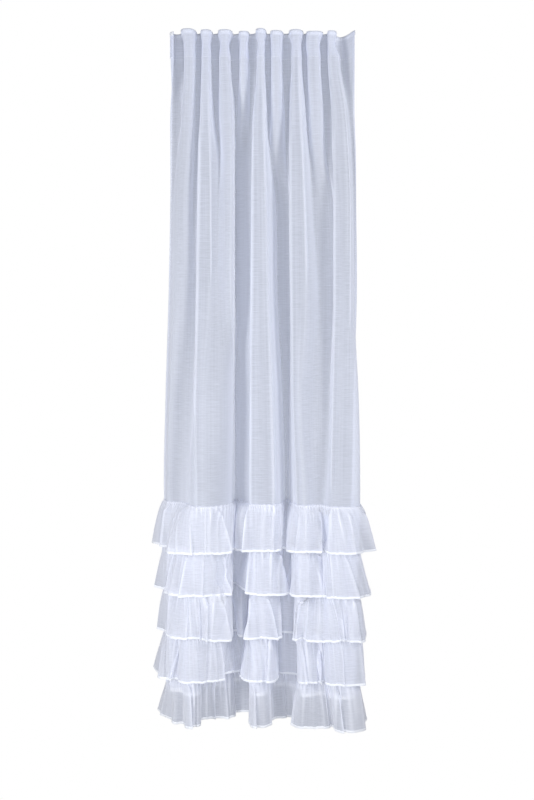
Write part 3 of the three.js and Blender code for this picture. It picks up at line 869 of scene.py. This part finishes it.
def header_rows(seam, places, crimp):
    """The ruffle's turned top edge, from behind its seam over the top and down again, and
    its places on the flat cloth."""
    grid, uv = [], []
    for row in HEADER_ROWS:
        turn = named(HEADER_NAMES, row)
        path = panel_path(seam - turn["up"])
        path = path + to_front(path) * (turn["out"] + crimp * HEADER_CRIMP * turn["crimp"])[:, None]
        height = turn["up"] - seam + HEADER_SCALLOP * turn["crimp"] * np.interp(places, FINE, crimp)
        grid.append(np.column_stack([read(path, places), height]))
        uv.append(flat_row(places, turn["flat"]))
    return grid, uv


def hem_back_rows(edge, out):
    """The rows up the back of a rolled hem, from its lower edge."""
    rows = []
    for up, back in HEM_BACK:
        row = edge.copy()
        row[:, :2] -= out * back
        row[:, 2] += up
        rows.append(row)
    return rows


def ruffle_sheet(tier, materials):
    """A ruffle: a turned header, gathers under the seam, creases and a rolled hem."""
    rng = np.random.default_rng(RUFFLE_SEED + tier)
    hem, seam = named(HEM_NAMES, RUFFLE_HEMS[tier]), SEAM_DROPS[tier]
    below, bulge = ruffle_depths()
    gathered, bunched_and_highlit, crimp = gathers(below, rng)
    rises = rises_along(hem) + sum(high * wave(length, rng) for length, high in HEM_WAVES)
    paths = ruffle_paths(tier, hem, below, gathered)
    all_columns = columns_for(paths, RUFFLE_COLUMNS)
    grid, uv = header_rows(seam, all_columns[0], crimp)
    # Painted highlight on the crimp's crests, over the closer threads of the turned edge
    bunching_and_highlight = [lerp(HEADER_BUNCH, 1, np.interp(all_columns[0], FINE, crimp))] * len(grid)
    for r, (path, columns) in enumerate(zip(paths, all_columns)):
        plan = read(path + to_front(path) * bulge[r], columns)
        rise = np.interp(columns, FINE, rises) * (below[r] / RUFFLE_DROP)
        grid.append(np.column_stack([plan, rise - (seam + below[r])]))
        uv.append(flat_row(columns, -below[r]))
        # Closer threads under the seam, with painted highlights on the gathers' crests and the fold edges
        close = np.minimum(bunched_and_highlit[r] + RUFFLE_EDGE_SHARE * edge_highlight(path), 1)
        bunching_and_highlight.append(np.interp(columns, FINE, close))
    grid += hem_back_rows(grid[-1], read(to_front(paths[-1]), all_columns[-1]))
    uv += [uv[-1] - [0, HEM_BACK_FLAT_STEP * (k + 1)] for k in range(len(HEM_BACK))]
    bunching_and_highlight += [bunching_and_highlight[-1]] * len(HEM_BACK)
    grid, uv = np.array(grid), np.array(uv)
    uv[..., 0] *= RUFFLE_CUT[0] / (CLOTH_WIDTH * MM)
    hemmed = np.arange(len(grid) - 1) >= len(grid) - 1 - len(HEM_FRONT) - len(HEM_BACK)
    return sheet_mesh(f"curtain_ruffle_{tier + 1}", grid, uv, np.array(bunching_and_highlight), hemmed, materials), grid


def dash_points(points, out, ring):
    """The corners of each stitch along a line: a ring near each end, and the two tips."""
    lengths = lengths_along(points)
    centres = np.arange(STITCH_PITCH / 2, lengths[-1], STITCH_PITCH)
    facing = columns_at(centres, lengths, out)
    first = columns_at(centres - STITCH_LENGTH / 2, lengths, points) + facing * STITCH_LIFT
    last = columns_at(centres + STITCH_LENGTH / 2, lengths, points) + facing * STITCH_LIFT
    axis = unit(last - first)
    side = unit(np.cross(axis, facing))
    up = np.cross(side, axis)
    around = ring[None, :, :1] * side[:, None] + ring[None, :, 1:] * up[:, None]
    near, far = lerp(first, last, STITCH_TAPER), lerp(first, last, 1 - STITCH_TAPER)
    corners = near[:, None] + around, far[:, None] + around, first[:, None], last[:, None]
    return np.concatenate(corners, axis=1)


def thread_dashes(name, lines, material):
    """Short stitches of thread along lines of points. Each line comes with the directions
    that face out of the cloth, and each stitch is a rod with a point at each end."""
    ring = np.array([(1, 0), (0, 1), (-1, 0), (0, -1)]) * THREAD_RADIUS
    sides = len(ring)
    first_tip, last_tip = 2 * sides, 2 * sides + 1
    pairs = [(k, (k + 1) % sides) for k in range(sides)]
    pattern = [(k, after, sides + after, sides + k) for k, after in pairs]
    pattern += [(first_tip, after, k) for k, after in pairs]
    pattern += [(last_tip, sides + k, sides + after) for k, after in pairs]
    dashes = np.concatenate([dash_points(points, out, ring) for points, out in lines])
    starts = range(0, dashes.shape[0] * dashes.shape[1], dashes.shape[1])
    faces = [tuple(start + corner for corner in face) for start in starts for face in pattern]
    return new_piece(name, dashes.reshape(-1, 3), faces, [material])


def row_line(grid, r):
    """A row of a sheet's grid as a line for stitches, with its outward directions."""
    return grid[r], np.column_stack([to_front(grid[r][:, :2]), np.zeros(grid.shape[1])])


def column_line(grid, column, inner):
    """A column of the panel's grid, below its heading, as a line for stitches."""
    rows = slice(SIDE_STITCH_FIRST_ROW, len(grid) - len(HEM_TURN))
    points = grid[rows, column]
    across = unit(grid[rows, inner] - points)
    sign = 1 if inner > column else -1
    return points, np.column_stack([across[:, 1], -across[:, 0], np.zeros(len(points))]) * sign


def math_node(nt, operation, a, b=0.0):
    """An arithmetic node, whose two values are numbers or sockets."""
    node = nt.nodes.new("ShaderNodeMath")
    node.operation = operation
    for socket, value in zip(node.inputs, (a, b)):
        if isinstance(value, (int, float)):
            socket.default_value = value
        else:
            nt.links.new(value, socket)
    return node.outputs[0]


def mixed_colour(nt, factor, *colours):
    """A mix of two colours, each a colour or a socket."""
    mix = nt.nodes.new("ShaderNodeMix")
    mix.data_type = "RGBA"
    nt.links.new(factor, mix.inputs["Factor"])
    sockets = [socket for socket in mix.inputs if socket.type == "RGBA"]
    for socket, colour in zip(sockets, colours):
        if isinstance(colour, tuple):
            socket.default_value = (*colour, 1)
        else:
            nt.links.new(colour, socket)
    return next(socket for socket in mix.outputs if socket.type == "RGBA")


def bump_of(nt, height, strength):
    """A normal that is bumped by a height."""
    bump = nt.nodes.new("ShaderNodeBump")
    bump.inputs["Strength"].default_value = strength
    bump.inputs["Distance"].default_value = THREAD_BUMP * MM
    nt.links.new(height, bump.inputs["Height"])
    return bump.outputs["Normal"]


def streaks(nt, uv, streak):
    """Noise drawn out along the threads, from -0.5 to 0.5."""
    mapping = nt.nodes.new("ShaderNodeMapping")
    mapping.inputs["Scale"].default_value = (streak["across"], streak["down"], 1)
    mapping.inputs["Location"].default_value = (streak["seed"], streak["seed"] * 1.7, 0)
    noise = nt.nodes.new("ShaderNodeTexNoise")
    noise.inputs["Scale"].default_value = 1.0
    noise.inputs["Detail"].default_value = 2.0
    nt.links.new(uv.outputs["UV"], mapping.inputs["Vector"])
    nt.links.new(mapping.outputs["Vector"], noise.inputs["Vector"])
    return math_node(nt, "SUBTRACT", noise.outputs["Fac"], 0.5)


def weave_bump(nt, uv):
    """The threads of a plain weave as a bump, equally far apart both ways."""
    split = nt.nodes.new("ShaderNodeSeparateXYZ")
    nt.links.new(uv.outputs["UV"], split.inputs[0])
    threads = []
    for axis in ("X", "Y"):
        phase = math_node(nt, "MULTIPLY", split.outputs[axis], 2 * math.pi / (THREAD_SPACING * MM))
        threads.append(math_node(nt, "SINE", phase))
    return bump_of(nt, math_node(nt, "ADD", *threads), 0.12)


def gaps_in_voile(nt, uv, coverage, slub):
    """How much of the voile is gaps: less at a slant, where threads lie closer, under painted
    highlights and in its thicker threads."""
    uneven = 0.0
    for row in STREAKS:
        streak = named(STREAK_NAMES, row)
        weighed = math_node(nt, "MULTIPLY", streaks(nt, uv, streak), streak["weight"])
        uneven = math_node(nt, "ADD", uneven, weighed)
    thinner = math_node(nt, "SUBTRACT", 1.0, math_node(nt, "MULTIPLY", uneven, slub))

    slant = nt.nodes.new("ShaderNodeLayerWeight")
    slant.inputs["Blend"].default_value = 0.5
    upright = math_node(nt, "SUBTRACT", 1.0, slant.outputs["Facing"])
    upright = math_node(nt, "MAXIMUM", upright, STEEPEST_SLANT)
    gaps = math_node(nt, "POWER", 1 - coverage, math_node(nt, "DIVIDE", 1.0, upright))

    # Closer threads in hems and under seams, and painted highlights along fold edges and crests, close
    # the gaps
    bunched_and_highlit = nt.nodes.new("ShaderNodeAttribute")
    bunched_and_highlit.attribute_name = "bunched_and_highlit"
    closed = math_node(nt, "MULTIPLY", bunched_and_highlit.outputs["Fac"], BUNCHING_AND_HIGHLIGHT_CLOSES)
    gaps = math_node(nt, "MULTIPLY", gaps, thinner)
    return math_node(nt, "MULTIPLY", gaps, math_node(nt, "SUBTRACT", 1.0, closed))


def voile(name, tint, coverage, translucency, slub=0.5):
    """Sheer voile: threads that scatter light both ways, with gaps between them."""
    mat = bpy.data.materials.new(name)
    mat.use_nodes = True
    nt = mat.node_tree
    nt.nodes.clear()
    new = nt.nodes.new
    link = nt.links.new
    uv = new("ShaderNodeUVMap")
    uv.uv_map = "cloth"
    normal = weave_bump(nt, uv)
    threads = new("ShaderNodeBsdfPrincipled")
    threads.inputs["Base Color"].default_value = (*tint, 1)
    threads.inputs["Roughness"].default_value = 0.85
    threads.inputs["Specular IOR Level"].default_value = 0.2
    threads.inputs["Sheen Weight"].default_value = 0.9
    threads.inputs["Sheen Roughness"].default_value = 0.3
    link(normal, threads.inputs["Normal"])
    through = new("ShaderNodeBsdfTranslucent")
    through.inputs["Color"].default_value = (*tint, 1)
    link(normal, through.inputs["Normal"])
    body = new("ShaderNodeMixShader")
    body.inputs[0].default_value = translucency
    link(threads.outputs[0], body.inputs[1])
    link(through.outputs[0], body.inputs[2])
    cloth = new("ShaderNodeMixShader")
    link(gaps_in_voile(nt, uv, coverage, slub), cloth.inputs[0])
    link(body.outputs[0], cloth.inputs[1])
    link(new("ShaderNodeBsdfTransparent").outputs[0], cloth.inputs[2])
    link(cloth.outputs[0], new("ShaderNodeOutputMaterial").inputs["Surface"])
    return mat


def thread_look():
    """White sewing thread, a little glossy, with its twist as a bump."""
    mat = bpy.data.materials.new("sewing thread")
    mat.use_nodes = True
    nt = mat.node_tree
    shader = nt.nodes["Principled BSDF"]
    shader.inputs["Base Color"].default_value = (0.93, 0.94, 0.97, 1)
    shader.inputs["Roughness"].default_value = 0.5
    shader.inputs["Sheen Weight"].default_value = 0.4
    place = nt.nodes.new("ShaderNodeNewGeometry")
    noise = nt.nodes.new("ShaderNodeTexNoise")
    noise.inputs["Scale"].default_value = 2500
    nt.links.new(place.outputs["Position"], noise.inputs["Vector"])
    nt.links.new(bump_of(nt, noise.outputs["Fac"], 0.3), shader.inputs["Normal"])
    return mat


def place_camera():
    """The photograph's camera: level, at the height of its horizon, 3.9 m away."""
    camera = bpy.data.cameras.new("camera")
    holder = bpy.data.objects.new("camera", camera)
    bpy.context.scene.collection.objects.link(holder)
    holder.location = CAMERA_PLACE
    holder.rotation_euler = (math.radians(90), 0, 0)
    camera.lens = CAMERA_LENS
    camera.shift_y = CAMERA_SHIFT
    camera.clip_end = 60
    bpy.context.scene.camera = holder


def world_light():
    """White to the eye, and dimmer where it lights the cloth or shows through it."""
    world = bpy.data.worlds.new("studio")
    bpy.context.scene.world = world
    world.use_nodes = True
    nt = world.node_tree
    path = nt.nodes.new("ShaderNodeLightPath")
    seen = path.outputs["Is Camera Ray"]
    direct = math_node(nt, "LESS_THAN", path.outputs["Transparent Depth"], 0.5)
    dim = mixed_colour(nt, seen, tuple(SKY_STRENGTH * part for part in SKY_TINT), BEHIND)
    colour = mixed_colour(nt, math_node(nt, "MULTIPLY", direct, seen), dim, WHITE)
    nt.links.new(colour, nt.nodes["Background"].inputs["Color"])
    nt.nodes["Background"].inputs["Strength"].default_value = 1.0


def softbox(name, place, aim, size, power):
    """A rectangular light that faces its aim."""
    light = bpy.data.lights.new(name, "AREA")
    light.shape = "RECTANGLE"
    light.size, light.size_y = size
    light.energy = power
    holder = bpy.data.objects.new(name, light)
    bpy.context.scene.collection.objects.link(holder)
    holder.location = place
    holder.rotation_euler = (Vector(aim) - Vector(place)).to_track_quat("-Z", "Y").to_euler()
    holder.visible_camera = False


def belongs(piece, slot, *nodes):
    """Hangs a piece on the root body and hides the solids that it replaces. Its slot is not used."""
    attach(piece, "root")
    if nodes:
        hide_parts(*nodes)


place_camera()
world_light()
for row in LIGHTS:
    softbox(**named(LIGHT_NAMES, row))

scene = bpy.context.scene
scene.view_settings.view_transform = "Standard"
scene.cycles.transparent_max_bounces = 32

panel_cloth = voile("panel voile", tint=(0.86, 0.89, 0.985), coverage=0.54, translucency=0.38)
hem_cloth = voile("hem voile", tint=(0.96, 0.97, 0.99), coverage=0.95, translucency=0.42, slub=0.2)
band_cloth = voile("band voile", tint=(0.82, 0.85, 0.965), coverage=0.20, translucency=0.38)
ruffle_cloth = voile("ruffle voile", tint=(0.87, 0.89, 0.965), coverage=0.48, translucency=0.36)
rolled_cloth = voile("rolled voile", tint=(0.94, 0.955, 0.99), coverage=0.93, translucency=0.42, slub=0.2)
thread = thread_look()

panel, panel_grid = panel_sheet([panel_cloth, hem_cloth])
belongs(panel, "panel_voile", "panel")
last_column = panel_grid.shape[1] - 1
panel_stitches = thread_dashes("curtain_panel_stitches", [
    row_line(panel_grid, len(TOP_TURN) + HEADING_ROWS - 1),
    column_line(panel_grid, SIDE_STITCH_COLUMN, SIDE_STITCH_INNER),
    column_line(panel_grid, last_column - SIDE_STITCH_COLUMN, last_column - SIDE_STITCH_INNER),
], thread)
belongs(panel_stitches, "panel_voile")

band = band_sheet(band_cloth)
belongs(band, "band_voile", "heading_band")

for tier in range(TIER_COUNT):
    ruffle, grid = ruffle_sheet(tier, [ruffle_cloth, rolled_cloth])
    belongs(ruffle, "ruffle_voile", f"ruffle_{tier + 1}")
    hem_top = len(grid) - len(HEM_FRONT) - len(HEM_BACK)
    stitches = thread_dashes(f"curtain_ruffle_{tier + 1}_stitches", [
        row_line(grid, len(HEADER_ROWS)), row_line(grid, hem_top),
    ], thread)
    belongs(stitches, "ruffle_voile")
